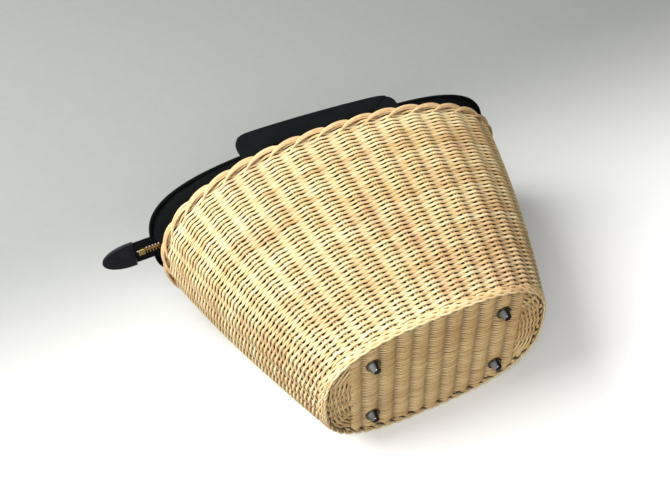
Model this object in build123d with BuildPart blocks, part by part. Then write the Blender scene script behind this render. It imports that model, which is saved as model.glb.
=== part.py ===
"""Woven rattan basket bag: a flared oval basket with four metal feet, a fabric lining that rises out of
the mouth as a zipped closure, and two flat strap handles. Millimetres, +Z up, X along the width of the bag.
The origin is the centre of the woven base's underside, and the feet reach below it."""

from build123d import *
from math import cos, pi, radians, sin, sqrt
import os

os.makedirs("parts", exist_ok=True)

# Basket outline: a superellipse at each height, from the base up to the mouth
base_half_width = 101.0
base_half_depth = 67.5
base_fullness = 2.75
mouth_half_width = 168.0
mouth_half_depth = 84.0
mouth_fullness = 2.5
side_height = 212.0
swell_width = 5.3
swell_depth = 3.0
rim_drop = 13.0
outline_points = 40

# Woven walls
wall = 6.0
base_thickness = 5.0
rim_height = 9.0
rim_proud = 1.5
seat_gap = 0.3

# Feet and what clamps them
foot_span_x = 115.2
foot_span_y = 72.0
foot_height = 7.0
foot_flange_radius = 6.2
foot_flange_thickness = 1.6
foot_bed = 0.4
foot_root_radius = 5.2
foot_tip_radius = 3.2
stud_radius = 1.5
stud_clearance = 0.2
washer_radius = 4.5
washer_thickness = 0.8
nut_across_flats = 5.5
nut_height = 2.2
board_thickness = 2.0
board_inset = 9.0

# Lining and the closure that grows out of it
lining_thickness = 1.2
lining_low_gap = 0.7
lining_high_gap = 3.9
lining_front_ease = 3.3
lining_drop = 31.0
collar_thickness = 2.0
collar_steps = (
    (-11.0, 13.0, 8.2, 2.5),
    (-2.0, 7.5, 8.6, 2.6),
    (7.0, 2.0, 9.5, 3.0),
    (17.0, 0.0, 10.5, 3.2),
)
closure_width_inset = 0.5
closure_wall_gap = 9.6
closure_fullness = 3.3
closure_thickness = 1.2
closure_rise = 0.087
slider_side_room = 2.9

# Zip
zip_rise = 6.0
tape_edge = 13.0
tape_thickness = 0.8
chain_half_width = 3.5
chain_thickness = 3.0
chain_split = 0.8
chain_inset = 16.0
chain_tail = 7.0
tape_right_spare = 8.0
tape_left_spare = 15.0
stop_length = 6.0
top_stop_length = 3.5
stop_proud = 0.5
slider_half_length = 7.0
slider_half_width = 5.6
slider_plate = 1.4
slider_corner = 3.0
slider_post_length = 3.0
slider_post_inset = 1.0
slider_channel_side = 0.8
slider_channel_depth = 0.6
slider_flange = 1.0
slider_clearance = 0.3
slider_rest_gap = 3.0
post_half_width = 0.5
bridge_length = 4.4
bridge_width = 1.8
bridge_height = 3.0
pull_pin_radius = 0.7
pull_pin_gap = 0.3
pull_length = 32.0
pull_width = 8.0
pull_thickness = 1.6
pull_arm_length = 6.4

# End tab of the zip
tab_overlap = 6.0
tab_length = 30.0
tab_margin = 2.0
tab_thickness = 3.4
tab_slot_gap = 0.2

# Handles
strap_width = 22.0
strap_thickness = 2.6
strap_root = 76.0
strap_taper = 2.0
strap_rise = 20.5
strap_lean = 2.0
strap_corner = 13.0
strap_bar_lift = 1.0
strap_side_gap = 0.1
tail_drop = 29.0
hinge_lift = 1.19

# Places that follow from the sizes above
lining_low_inset = wall + lining_low_gap
lining_high_inset = wall + lining_high_gap
lining_top = side_height - lining_drop
closure_half_width = mouth_half_width - closure_width_inset
closure_half_depth = mouth_half_depth - wall - closure_wall_gap
closure_gap = slider_half_width + slider_side_room
zip_height = side_height + zip_rise
chain_right = mouth_half_width - chain_inset
chain_left = -mouth_half_width - chain_tail
tape_right = chain_right + tape_right_spare
tape_left = chain_left - tape_left_spare
tab_root = tape_left + tab_overlap
tab_tip = tab_root - tab_length
tab_half_width = tape_edge + tab_margin
hinge_y = closure_half_depth + strap_side_gap + strap_thickness / 2
tail_bottom = side_height - tail_drop
cut_reach = mouth_half_width + 62
foot_places = [(x * foot_span_x / 2, y * foot_span_y / 2) for x in (-1, 1) for y in (-1, 1)]


def outline_at(height, inset):
    """Half width, half depth and fullness of the basket at a height, pulled in by an inset."""
    rise = height / side_height
    swell = 4 * rise * (1 - rise)
    half_width = base_half_width + (mouth_half_width - base_half_width) * rise + swell_width * swell
    half_depth = base_half_depth + (mouth_half_depth - base_half_depth) * rise + swell_depth * swell
    fullness = base_fullness + (mouth_fullness - base_fullness) * rise
    return (half_width - inset, half_depth - inset, fullness)


def lining_outline(height, inset):
    """Outline of the fabric at a height, with more room at the front and back where the straps go down."""
    ease = lining_front_ease * (inset - lining_low_inset) / (lining_high_inset - lining_low_inset)
    half_width, half_depth, fullness = outline_at(height, inset)
    return (half_width, half_depth - ease, fullness)


def oval_points(half_width, half_depth, fullness):
    """Points of a superellipse."""
    points = []
    for step in range(outline_points):
        turn = 2 * pi * step / outline_points
        across = abs(cos(turn)) ** (2 / fullness)
        along = abs(sin(turn)) ** (2 / fullness)
        x = half_width * across * (1 if cos(turn) >= 0 else -1)
        y = half_depth * along * (1 if sin(turn) >= 0 else -1)
        points.append((x, y))
    return points


def oval_loft(levels):
    """A solid through (height, half width, half depth, fullness) levels."""
    with BuildPart() as solid:
        for height, half_width, half_depth, fullness in levels:
            with BuildSketch(Plane.XY.offset(height)):
                with BuildLine():
                    Spline(oval_points(half_width, half_depth, fullness), periodic=True)
                make_face()
        loft()
    return solid.part


def oval_plate(bottom, thickness, outline):
    """A flat plate with a superellipse outline."""
    with BuildPart() as solid:
        with BuildSketch(Plane.XY.offset(bottom)):
            with BuildLine():
                Spline(oval_points(*outline), periodic=True)
            make_face()
        extrude(amount=thickness)
    return solid.part


def basket_loft(bottom, top, inset):
    """The space inside the basket's outline, pulled in by an inset, between two heights."""
    middle = (bottom + top) / 2
    return oval_loft([(height, *outline_at(height, inset)) for height in (bottom, middle, top)])


def above_arch(middle_height):
    """Everything above the rim's arched level, which is lower at the ends of the bag than in the middle."""
    arch_radius = (mouth_half_width**2 + rim_drop**2) / (2 * rim_drop)
    reach_drop = arch_radius - sqrt(arch_radius**2 - cut_reach**2)
    reach_height = middle_height - reach_drop
    with BuildPart() as solid:
        with BuildSketch(Plane.XZ):
            with BuildLine():
                ThreePointArc((-cut_reach, reach_height), (0, middle_height), (cut_reach, reach_height))
                Polyline(
                    (cut_reach, reach_height),
                    (cut_reach, middle_height + rim_drop),
                    (-cut_reach, middle_height + rim_drop),
                    (-cut_reach, reach_height),
                )
            make_face()
        extrude(amount=cut_reach, both=True)
    return solid.part


def closure_level(depth):
    """Height of the closure's underside at a distance from the zip's centre line."""
    return zip_height + tape_thickness / 2 + (depth - closure_gap) * closure_rise


# Woven side, from the base up to the rim
side_outer = basket_loft(0, side_height - rim_height + 1, 0)
side_inner = basket_loft(-1, side_height - rim_height + 2, wall)
above_side = above_arch(side_height - rim_height)
with BuildPart() as basket_side:
    add(side_outer)
    add(side_inner, mode=Mode.SUBTRACT)
    add(above_side, mode=Mode.SUBTRACT)
basket_side.part.label = "basket_side"
export_step(basket_side.part, "parts/basket_side.step")

# Rolled border on top of the side
rim_bottom = side_height - rim_height - rim_drop - 2
rim_outer = basket_loft(rim_bottom, side_height + 1, -rim_proud)
rim_inner = basket_loft(rim_bottom - 1, side_height + 2, wall + seat_gap)
above_rim = above_arch(side_height)
with BuildPart() as rim_border:
    add(rim_outer)
    add(rim_inner, mode=Mode.SUBTRACT)
    add(above_side, mode=Mode.INTERSECT)
    add(above_rim, mode=Mode.SUBTRACT)
rim_border.part.label = "rim_border"
export_step(rim_border.part, "parts/rim_border.step")

# Woven base, with a hole for each foot and a shallow seat that its flange beds into
base_plate = oval_plate(0, base_thickness, outline_at(0, wall + seat_gap / 2))
with BuildPart() as basket_base:
    add(base_plate)
    with Locations(*[Plane((x, y, 0), z_dir=(0, 0, -1)) for x, y in foot_places]):
        CounterBoreHole(
            radius=stud_radius + stud_clearance,
            counter_bore_radius=foot_flange_radius + seat_gap,
            counter_bore_depth=foot_bed,
            depth=base_thickness,
        )
basket_base.part.label = "basket_base"
export_step(basket_base.part, "parts/basket_base.step")

# Stiff board that spreads the load of the feet
board_top = base_thickness + board_thickness
board_plate = oval_plate(base_thickness, board_thickness, outline_at(0, board_inset))
with BuildPart() as base_board:
    add(board_plate)
    with Locations(*[(x, y, board_top) for x, y in foot_places]):
        Hole(stud_radius + stud_clearance, depth=board_thickness)
base_board.part.label = "base_board"
export_step(base_board.part, "parts/base_board.step")

# Four turned feet, each with a stud through the base and the board
washer_top = board_top + washer_thickness
nut_top = washer_top + nut_height
flange_bottom = foot_bed - foot_flange_thickness
foot_names = ("foot_left_front", "foot_left_back", "foot_right_front", "foot_right_back")
for foot_name, (foot_x, foot_y) in zip(foot_names, foot_places):
    foot_plane = Plane((foot_x, foot_y, 0), x_dir=(1, 0, 0), z_dir=(0, -1, 0))
    with BuildPart() as foot:
        with BuildSketch(foot_plane):
            with BuildLine():
                Polyline(
                    (0, nut_top),
                    (stud_radius, nut_top),
                    (stud_radius, foot_bed),
                    (foot_flange_radius, foot_bed),
                    (foot_flange_radius, flange_bottom),
                    (foot_root_radius, flange_bottom),
                    (foot_tip_radius, -foot_height),
                    (0, -foot_height),
                    close=True,
                )
            make_face()
        revolve(axis=Axis((foot_x, foot_y, 0), (0, 0, 1)))
        tip_edges = foot.edges().filter_by(GeomType.CIRCLE).group_by(Axis.Z)[0]
        fillet(tip_edges, radius=0.8)
    foot.part.label = foot_name
    export_step(foot.part, f"parts/{foot_name}.step")

# Washers and nuts that clamp the feet, one set for each stud
with BuildPart() as foot_washers:
    with BuildSketch(Plane.XY.offset(board_top)):
        with Locations(*foot_places):
            Circle(washer_radius)
            Circle(stud_radius + stud_clearance, mode=Mode.SUBTRACT)
    extrude(amount=washer_thickness)
foot_washers.part.label = "foot_washers"
export_step(foot_washers.part, "parts/foot_washers.step")

with BuildPart() as foot_nuts:
    with BuildSketch(Plane.XY.offset(washer_top)):
        with Locations(*foot_places):
            RegularPolygon(nut_across_flats / 2, 6, major_radius=False)
            Circle(stud_radius + stud_clearance / 4, mode=Mode.SUBTRACT)
    extrude(amount=nut_height)
foot_nuts.part.label = "foot_nuts"
export_step(foot_nuts.part, "parts/foot_nuts.step")

# Fabric lining: an open bag that stands on the nuts and leans on the woven side
lining_bottom = nut_top + seat_gap
lining_middle = (lining_bottom + lining_top) / 2
lining_insets = (
    (lining_bottom, lining_low_inset),
    (lining_middle, (lining_low_inset + lining_high_inset) / 2),
    (lining_top, lining_high_inset),
)
lining_outer_levels = []
lining_inner_levels = []
for height, inset in lining_insets:
    half_width, half_depth, fullness = lining_outline(height, inset)
    inner_width = half_width - lining_thickness
    inner_depth = half_depth - lining_thickness
    lining_outer_levels.append((height, half_width, half_depth, fullness))
    lining_inner_levels.append((height + lining_thickness, inner_width, inner_depth, fullness))
lining_outer = oval_loft(lining_outer_levels)
lining_inner = oval_loft(lining_inner_levels)
with BuildPart() as lining:
    add(lining_outer)
    add(lining_inner, mode=Mode.SUBTRACT)
lining.part.label = "lining"
export_step(lining.part, "parts/lining.step")

# Closure collar: the band of fabric that stands up out of the mouth and carries the zipped top, with room
# for the strap tails that go down its outside
collar_foot = (lining_top, *lining_outline(lining_top, lining_high_inset))
collar_outer_levels = [collar_foot]
for above_mouth, width_inset, wall_gap, fullness in collar_steps:
    half_width = mouth_half_width - width_inset
    half_depth = mouth_half_depth - wall - wall_gap
    collar_outer_levels.append((side_height + above_mouth, half_width, half_depth, fullness))
collar_inner_levels = []
for height, half_width, half_depth, fullness in collar_outer_levels:
    inner_width = half_width - collar_thickness
    inner_depth = half_depth - collar_thickness
    collar_inner_levels.append((height, inner_width, inner_depth, fullness))
collar_outer = oval_loft(collar_outer_levels)
collar_inner = oval_loft(collar_inner_levels)
slider_channel = slider_half_width + slider_channel_side
slider_underside = zip_height - chain_thickness / 2 - slider_clearance - slider_plate
channel_level = slider_underside - slider_channel_depth
tape_bottom = zip_height - tape_thickness / 2
with BuildPart() as above_collar:
    with BuildSketch(Plane.YZ):
        with BuildLine():
            Polyline(
                (0, channel_level),
                (slider_channel, channel_level),
                (slider_channel, tape_bottom),
                (tape_edge + seat_gap, tape_bottom),
                (tape_edge + seat_gap, closure_level(tape_edge + seat_gap)),
                (cut_reach, closure_level(cut_reach)),
                (cut_reach, cut_reach + zip_height),
                (0, cut_reach + zip_height),
                (0, channel_level),
            )
        make_face()
        mirror(about=Plane.YZ)
    extrude(amount=cut_reach, both=True)
leg_middle = strap_root - strap_width / 2
tail_pocket_height = cut_reach
tail_pocket_places = []
for x_side in (-1, 1):
    for y_side in (-1, 1):
        pocket_z = tail_bottom + tail_pocket_height / 2
        tail_pocket_places.append((x_side * leg_middle, y_side * hinge_y, pocket_z))
with BuildPart() as closure_collar:
    add(collar_outer)
    add(collar_inner, mode=Mode.SUBTRACT)
    add(above_collar.part, mode=Mode.SUBTRACT)
    with Locations(*tail_pocket_places):
        Box(
            strap_width + 2 * strap_side_gap,
            strap_thickness + 2 * strap_side_gap,
            tail_pocket_height,
            mode=Mode.SUBTRACT,
        )
closure_collar.part.label = "closure_collar"
export_step(closure_collar.part, "parts/closure_collar.step")

# Closure panels: one each side of the zip, sloping up from it to the collar's top edge
closure_shape = (closure_half_width, closure_half_depth, closure_fullness)
closure_outline = oval_plate(zip_height, closure_half_depth, closure_shape)
for panel_name, side in (("closure_panel_front", -1), ("closure_panel_back", 1)):
    with BuildPart() as closure_panel:
        add(closure_outline)
        with BuildSketch(Plane.YZ, mode=Mode.PRIVATE) as panel_section:
            with BuildLine():
                Polyline(
                    (side * closure_gap, closure_level(closure_gap)),
                    (side * cut_reach, closure_level(cut_reach)),
                    (side * cut_reach, closure_level(cut_reach) + closure_thickness),
                    (side * closure_gap, closure_level(closure_gap) + closure_thickness),
                    (side * closure_gap, closure_level(closure_gap)),
                )
            make_face()
        extrude(panel_section.sketch, amount=cut_reach, both=True, mode=Mode.INTERSECT)
    closure_panel.part.label = panel_name
    export_step(closure_panel.part, f"parts/{panel_name}.step")

# Zip tapes and their rows of teeth, running the whole length and out over the left end
for row_name, side in (("front", -1), ("back", 1)):
    tape_length = tape_right - tape_left
    tape_width = tape_edge - chain_half_width
    tape_x = (tape_left + tape_right) / 2
    tape_y = side * (tape_edge + chain_half_width) / 2
    with BuildPart() as zip_tape:
        with Locations((tape_x, tape_y, zip_height)):
            Box(tape_length, tape_width, tape_thickness)
    zip_tape.part.label = f"zip_tape_{row_name}"
    export_step(zip_tape.part, f"parts/zip_tape_{row_name}.step")

    chain_length = chain_right - chain_left
    chain_width = chain_half_width - chain_split
    chain_x = (chain_left + chain_right) / 2
    chain_y = side * (chain_half_width + chain_split) / 2
    with BuildPart() as zip_teeth:
        with Locations((chain_x, chain_y, zip_height)):
            Box(chain_length, chain_width, chain_thickness)
    zip_teeth.part.label = f"zip_teeth_{row_name}"
    export_step(zip_teeth.part, f"parts/zip_teeth_{row_name}.step")

# Stop that joins the two rows at the tail, and the pair of stops at the closed end
stop_thickness = chain_thickness + 2 * stop_proud
with BuildPart() as zip_bottom_stop:
    with Locations((chain_left - stop_length / 2, 0, zip_height)):
        Box(stop_length, 2 * chain_half_width, stop_thickness)
    fillet(zip_bottom_stop.edges().filter_by(Axis.Z), radius=1.0)
    fillet(zip_bottom_stop.faces().filter_by(Axis.Z).edges(), radius=0.4)
zip_bottom_stop.part.label = "zip_bottom_stop"
export_step(zip_bottom_stop.part, "parts/zip_bottom_stop.step")

top_stop_x = chain_right + top_stop_length / 2
top_stop_y = (chain_half_width + chain_split) / 2
with BuildPart() as zip_top_stops:
    with Locations((top_stop_x, -top_stop_y, zip_height), (top_stop_x, top_stop_y, zip_height)):
        Box(top_stop_length, chain_half_width - chain_split, stop_thickness)
zip_top_stops.part.label = "zip_top_stops"
export_step(zip_top_stops.part, "parts/zip_top_stops.step")

# Slider: two plates joined by a post that rides between the rows, with a bridge for the pull on top
slider_x = chain_right - slider_rest_gap - slider_half_length
plate_inside = chain_thickness / 2 + slider_clearance
plate_outside = plate_inside + slider_plate
flange_inside = tape_thickness / 2 + slider_clearance
bridge_top = plate_outside + bridge_height
pin_radius_clear = pull_pin_radius + pull_pin_gap
pin_z = zip_height + bridge_top - bridge_width / 2 - pull_pin_radius
with BuildPart() as zip_slider:
    for direction in (-1, 1):
        with BuildSketch(Plane.XY.offset(zip_height + direction * plate_inside)):
            with Locations((slider_x, 0)):
                RectangleRounded(2 * slider_half_length, 2 * slider_half_width, slider_corner)
        extrude(amount=direction * slider_plate)
        flange_y = slider_half_width - slider_flange / 2
        flange_height = plate_inside - flange_inside
        flange_z = zip_height + direction * (flange_inside + flange_height / 2)
        with Locations((slider_x, -flange_y, flange_z), (slider_x, flange_y, flange_z)):
            Box(2 * (slider_half_length - slider_corner), slider_flange, flange_height)
    post_x = slider_x + slider_half_length - slider_post_inset - slider_post_length / 2
    with Locations((post_x, 0, zip_height)):
        Box(slider_post_length, 2 * post_half_width, 2 * plate_inside)
    with BuildSketch(Plane.XZ) as bridge_section:
        with Locations((slider_x, zip_height + plate_outside + bridge_height / 2)):
            Rectangle(bridge_length, bridge_height)
        fillet(bridge_section.vertices().group_by(Axis.Y)[-1], radius=1.2)
        with Locations((slider_x, pin_z)):
            Circle(pin_radius_clear, mode=Mode.SUBTRACT)
    extrude(amount=bridge_width / 2, both=True)
zip_slider.part.label = "zip_slider"
export_step(zip_slider.part, "parts/zip_slider.step")

# Pull: a plate whose two arms carry a pin through the bridge
arm_inside = bridge_width / 2 + pull_pin_gap
arm_outside = pull_width / 2
arm_middle = (arm_inside + arm_outside) / 2
pull_plate_length = pull_length - pull_arm_length
with BuildPart() as zip_pull:
    arm_x = slider_x - pull_arm_length / 2
    with BuildSketch(Plane.XY.offset(pin_z - pull_thickness / 2)):
        with Locations((arm_x, -arm_middle), (arm_x, arm_middle)):
            Rectangle(pull_arm_length, arm_outside - arm_inside)
        with Locations((slider_x - pull_arm_length + 2 - pull_plate_length / 2, 0)):
            RectangleRounded(pull_plate_length, pull_width, 1.8)
    extrude(amount=pull_thickness)
    with BuildSketch(Plane.XZ):
        with Locations((slider_x, pin_z)):
            Circle(pull_pin_radius)
    extrude(amount=arm_outside, both=True)
zip_pull.part.label = "zip_pull"
export_step(zip_pull.part, "parts/zip_pull.step")

# Leather tab folded over the loose end of the zip, with a slot that holds the tapes
with BuildPart() as zip_end_tab:
    with BuildSketch(Plane.XY.offset(zip_height - tab_thickness / 2)):
        with BuildLine():
            Line((tab_root, -tab_half_width), (tab_root, tab_half_width))
            ThreePointArc(
                (tab_root, tab_half_width),
                (tab_root - 0.66 * tab_length, 0.68 * tab_half_width),
                (tab_tip, 0),
            )
            ThreePointArc(
                (tab_tip, 0),
                (tab_root - 0.66 * tab_length, -0.68 * tab_half_width),
                (tab_root, -tab_half_width),
            )
        make_face()
    extrude(amount=tab_thickness)
    slot_length = tab_root - tape_left + tab_slot_gap
    with Locations((tab_root - slot_length / 2, 0, zip_height)):
        Box(
            slot_length,
            2 * (tape_edge + tab_slot_gap),
            tape_thickness + 2 * tab_slot_gap,
            mode=Mode.SUBTRACT,
        )
zip_end_tab.part.label = "zip_end_tab"
export_step(zip_end_tab.part, "parts/zip_end_tab.step")

# Handles: a flat strap that stands a little above the closure, bending where it leaves the mouth, and the
# two tails that go down beside the closure
hinge_z = closure_level(closure_half_depth) + closure_thickness + hinge_lift
tail_top = hinge_z - strap_thickness / 2 - seat_gap
tail_height = tail_top - tail_bottom
for place, side in (("front", -1), ("back", 1)):
    lean = radians(strap_lean)
    rise_direction = Vector(0, -side * sin(lean), cos(lean))
    hinge_origin = Vector(0, side * hinge_y, hinge_z)
    strap_plane = Plane(hinge_origin, x_dir=(1, 0, 0), z_dir=Vector(1, 0, 0).cross(rise_direction))
    with BuildPart() as handle:
        with BuildSketch(strap_plane):
            with BuildLine():
                Polyline(
                    (-strap_root, 0),
                    (-strap_root + strap_taper, strap_rise),
                    (strap_root - strap_taper, strap_rise),
                    (strap_root, 0),
                    close=True,
                )
            outer_face = make_face()
            fillet(outer_face.vertices().group_by(Axis.Y)[-1], radius=strap_corner)
            Rectangle(2 * (strap_root - strap_width), 2 * strap_bar_lift, mode=Mode.SUBTRACT)
        extrude(amount=strap_thickness / 2, both=True)
        for leg_side in (-1, 1):
            with Locations((leg_side * leg_middle, side * hinge_y, hinge_z)):
                Cylinder(strap_thickness / 2, strap_width, rotation=(0, 90, 0))
    handle.part.label = f"handle_{place}"
    export_step(handle.part, f"parts/handle_{place}.step")

    for end, end_side in (("left", -1), ("right", 1)):
        tail_name = f"handle_{place}_tail_{end}"
        with BuildPart() as tail:
            with Locations((end_side * leg_middle, side * hinge_y, tail_bottom + tail_height / 2)):
                Box(strap_width, strap_thickness, tail_height)
        tail.part.label = tail_name
        export_step(tail.part, f"parts/{tail_name}.step")
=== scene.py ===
"""Looks of the woven basket bag: cane weave, rolled rim, ribbed base, fabric closure, straps, zip and feet."""

import math

import bmesh
import bpy
import numpy as np
from mathutils import Matrix, Vector


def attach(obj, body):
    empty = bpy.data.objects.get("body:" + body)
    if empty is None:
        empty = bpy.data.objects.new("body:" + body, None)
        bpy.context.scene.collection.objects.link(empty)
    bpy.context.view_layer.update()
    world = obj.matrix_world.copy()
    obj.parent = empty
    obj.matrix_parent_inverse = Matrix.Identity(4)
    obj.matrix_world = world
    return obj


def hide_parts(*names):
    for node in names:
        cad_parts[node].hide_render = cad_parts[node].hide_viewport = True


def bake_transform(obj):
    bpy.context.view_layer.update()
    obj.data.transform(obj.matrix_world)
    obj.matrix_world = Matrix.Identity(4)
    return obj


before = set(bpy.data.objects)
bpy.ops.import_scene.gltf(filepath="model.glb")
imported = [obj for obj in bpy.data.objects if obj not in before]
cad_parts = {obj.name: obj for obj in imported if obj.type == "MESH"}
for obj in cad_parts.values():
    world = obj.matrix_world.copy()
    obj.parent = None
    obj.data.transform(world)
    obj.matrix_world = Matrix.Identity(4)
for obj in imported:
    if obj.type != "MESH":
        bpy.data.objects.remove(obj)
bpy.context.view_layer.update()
MM = 0.001

# ---------------------------------------------------------------- sizes, in metres
SIDE_H = 0.212            # height of the woven side
RIM_H = 0.009             # height of the rolled rim
ARCH_R = 1.092            # radius of the rim's arch, seen from the front
STAKES = 37               # pairs of stakes round the side
ROW_START = 0.0048        # height of the first row of weaving
ROW_PITCH = 0.0021        # height gained by each turn of the weaver
ZIP_Z = 0.218             # middle of the zip chain
TAPE_TOP = 0.2184         # top of the zip tapes
CLOSE_GAP = 0.0085        # half of the gap between the closure's two panels
CLOSE_RISE = 0.087        # slope of each panel, up from the zip
HINGE_Y, HINGE_Z = 0.0698, 0.226
LEAN = math.radians(2)    # lean of each handle at rest
DEPTH_SCALE = 0.006       # distance below the surface at which the painted shade is full


# ---------------------------------------------------------------- camera
# It looks up at the base, as the bag lies on its back.
cam_data = bpy.data.cameras.new("camera")
cam_data.sensor_width = 36.0
cam_data.lens = 54.95
cam = bpy.data.objects.new("camera", cam_data)
cam.matrix_world = Matrix((
    (0.9059, 0.3365, -0.2573, -0.2556),
    (0.0192, -0.6393, -0.7687, -0.6935),
    (-0.4232, 0.6914, -0.5856, -0.3843),
    (0, 0, 0, 1),
))
bpy.context.scene.collection.objects.link(cam)
bpy.context.scene.camera = cam


# ---------------------------------------------------------------- outline of the basket
def outline(z):
    """Half width, half depth and fullness of the basket at a height."""
    t = z / SIDE_H
    swell = 4 * t * (1 - t)
    return 0.101 + 0.067 * t + 0.0053 * swell, 0.0675 + 0.0165 * t + 0.003 * swell, 2.75 - 0.25 * t


def superellipse(a, b, n, turn):
    c, s = np.cos(turn), np.sin(turn)
    return np.stack([a * np.sign(c) * np.abs(c) ** (2 / n), b * np.sign(s) * np.abs(s) ** (2 / n)], -1)


def even_ring(a, b, n, count, start=math.pi / 2):
    """Points evenly spaced round a superellipse from the back middle, and their outward normals."""
    turn = np.linspace(start, start + 2 * math.pi, 6001)
    p = superellipse(a, b, n, turn)
    run = np.concatenate([[0], np.cumsum(np.linalg.norm(np.diff(p, axis=0), axis=1))])
    want = np.linspace(0, run[-1], count + 1)
    q = np.stack([np.interp(want, run, p[:, i]) for i in (0, 1)], -1)
    t = np.roll(q[:-1], -1, 0) - np.roll(q[:-1], 1, 0)
    t = np.vstack([t, t[:1]])
    normal = np.stack([t[:, 1], -t[:, 0]], -1)
    return q, normal / np.linalg.norm(normal, axis=1, keepdims=True)


RING = 1400
LEVELS = np.linspace(-0.006, 0.230, 60)
rings = [even_ring(*outline(z), RING) for z in LEVELS]
ring_xy = np.array([r[0] for r in rings])
ring_n = np.array([r[1] for r in rings])


def on_side(u, z, off=0.0):
    """Points on the basket's side: u counts stakes round it, off is outward. Gives points and normals."""
    u, z, off = np.broadcast_arrays(np.asarray(u, float), np.asarray(z, float), np.asarray(off, float))
    f = (u / STAKES % 1.0) * RING
    i = np.minimum(f.astype(int), RING - 1)
    fu = (f - i)[..., None]
    g = np.clip((z - LEVELS[0]) / (LEVELS[1] - LEVELS[0]), 0, len(LEVELS) - 1.001)
    k = g.astype(int)
    fz = (g - k)[..., None]

    def sample(grid):
        low = grid[k, i] * (1 - fu) + grid[k, i + 1] * fu
        high = grid[k + 1, i] * (1 - fu) + grid[k + 1, i + 1] * fu
        return low * (1 - fz) + high * fz

    p, n = sample(ring_xy), sample(ring_n)
    n = n / np.linalg.norm(n, axis=-1, keepdims=True)
    xy = p + n * off[..., None]
    zero = np.zeros(z.shape + (1,))
    return np.concatenate([xy, z[..., None]], -1), np.concatenate([n, zero], -1)


def arch_drop(x):
    """How far the rim's arch lies below its crown."""
    return ARCH_R - np.sqrt(ARCH_R**2 - np.minimum(np.abs(x), 0.3) ** 2)


def arched(u, z, off=0.0, share=None):
    """As on_side, with the height lowered as the rim's arch is, in full or in part."""
    p, _ = on_side(u, z)
    share = np.asarray(z, float) / SIDE_H if share is None else share
    return on_side(u, np.asarray(z, float) - arch_drop(p[..., 0]) * share, off)


def wander(x, seed, size=1.0):
    """Smooth random wave of x, about -1 to 1."""
    r = np.random.default_rng(seed)
    table = r.uniform(-1, 1, 997)
    x = np.asarray(x, float) / size
    i = np.floor(x).astype(int)
    f = x - i
    f = f * f * (3 - 2 * f)
    return table[i % 997] * (1 - f) + table[(i + 1) % 997] * f


# ---------------------------------------------------------------- bundles of strands
class Bundle:
    """Tubes gathered into one mesh, with the tone, depth and grain of each point."""

    def __init__(self):
        self.v, self.f, self.tone, self.depth, self.grain, self.n = [], [], [], [], [], 0

    def tube(self, path, out, radius, sides=6, tone=0.5, depth=0.0, flat=1.0, start=0.0, side_shade=1.0):
        """One strand. flat squeezes it along out, start is its length so far, and the last argument sets how
        much painted shade darkens its inward side.
        """
        path = np.asarray(path, float)
        count = len(path)
        t = np.gradient(path, axis=0)
        t /= np.linalg.norm(t, axis=1, keepdims=True) + 1e-12
        out = np.asarray(out, float) * np.ones((count, 1))
        out = out - t * np.sum(out * t, 1, keepdims=True)
        out /= np.linalg.norm(out, axis=1, keepdims=True) + 1e-12
        across = np.cross(t, out)
        radius = np.ones(count) * radius
        turn = np.arange(sides) * 2 * math.pi / sides
        c, s = np.cos(turn) * flat, np.sin(turn)
        section = out[:, None] * c[None, :, None] + across[:, None] * s[None, :, None]
        v = path[:, None] + radius[:, None, None] * section
        self.v.append(v.reshape(-1, 3))
        a = np.arange(count - 1)[:, None] * sides
        k = np.arange(sides)[None]
        k2 = (k + 1) % sides
        quads = np.stack([a + k, a + k2, a + sides + k2, a + sides + k], -1).reshape(-1, 4) + self.n
        self.f += quads.tolist()
        self.f.append((np.arange(sides)[::-1] + self.n).tolist())
        self.f.append((np.arange(sides) + self.n + (count - 1) * sides).tolist())
        run = start + np.concatenate([[0], np.cumsum(np.linalg.norm(np.diff(path, axis=0), axis=1))])
        self.tone.append(np.repeat(np.ones(count) * tone, sides))
        # Painted shade: depth rises on the side of the strand that faces inward, and the cane material darkens
        # it.
        d = (np.ones(count) * depth)[:, None] - (radius[:, None] * c[None]) * side_shade / DEPTH_SCALE
        self.depth.append(d.reshape(-1))
        strand = np.repeat(np.ones(count) * tone * 37, sides)
        self.grain.append(np.stack([np.repeat(run, sides), np.tile(turn / 6.2832, count), strand], -1))
        self.n += count * sides

    def make(self, name, material, nodes=()):
        mesh = bpy.data.meshes.new(name)
        mesh.from_pydata(np.vstack(self.v).tolist(), [], self.f)
        for key, kind, values in (
            ("tone", "FLOAT", np.concatenate(self.tone)),
            ("depth", "FLOAT", np.concatenate(self.depth)),
            ("grain", "FLOAT_VECTOR", np.vstack(self.grain).reshape(-1)),
        ):
            attribute = mesh.attributes.new(key, kind, "POINT")
            field = "vector" if kind == "FLOAT_VECTOR" else "value"
            attribute.data.foreach_set(field, values.astype(np.float32))
        return finish_piece(name, mesh, material, nodes)


def finish_piece(name, mesh, material, nodes=(), body="root", smooth=True):
    """Put a mesh in the scene, on its body, in place of its CAD nodes."""
    mesh.polygons.foreach_set("use_smooth", [smooth] * len(mesh.polygons))
    mesh.materials.append(material)
    piece = bpy.data.objects.new(name, mesh)
    bpy.context.scene.collection.objects.link(piece)
    if body:
        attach(piece, body)
    if nodes:
        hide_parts(*nodes)
    return piece


# ---------------------------------------------------------------- materials
def new_material(name):
    material = bpy.data.materials.new(name)
    material.use_nodes = True
    tree = material.node_tree
    return material, tree, tree.nodes["Principled BSDF"]


def node(tree, kind, inputs=None, **settings):
    """A shader node whose inputs are linked where a socket is given, and set where a value is."""
    made = tree.nodes.new(kind)
    for key, value in settings.items():
        setattr(made, key, value)
    for key, value in (inputs or {}).items():
        socket = made.inputs[key]
        if isinstance(value, bpy.types.NodeSocket):
            tree.links.new(value, socket)
        else:
            socket.default_value = value
    return made


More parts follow.
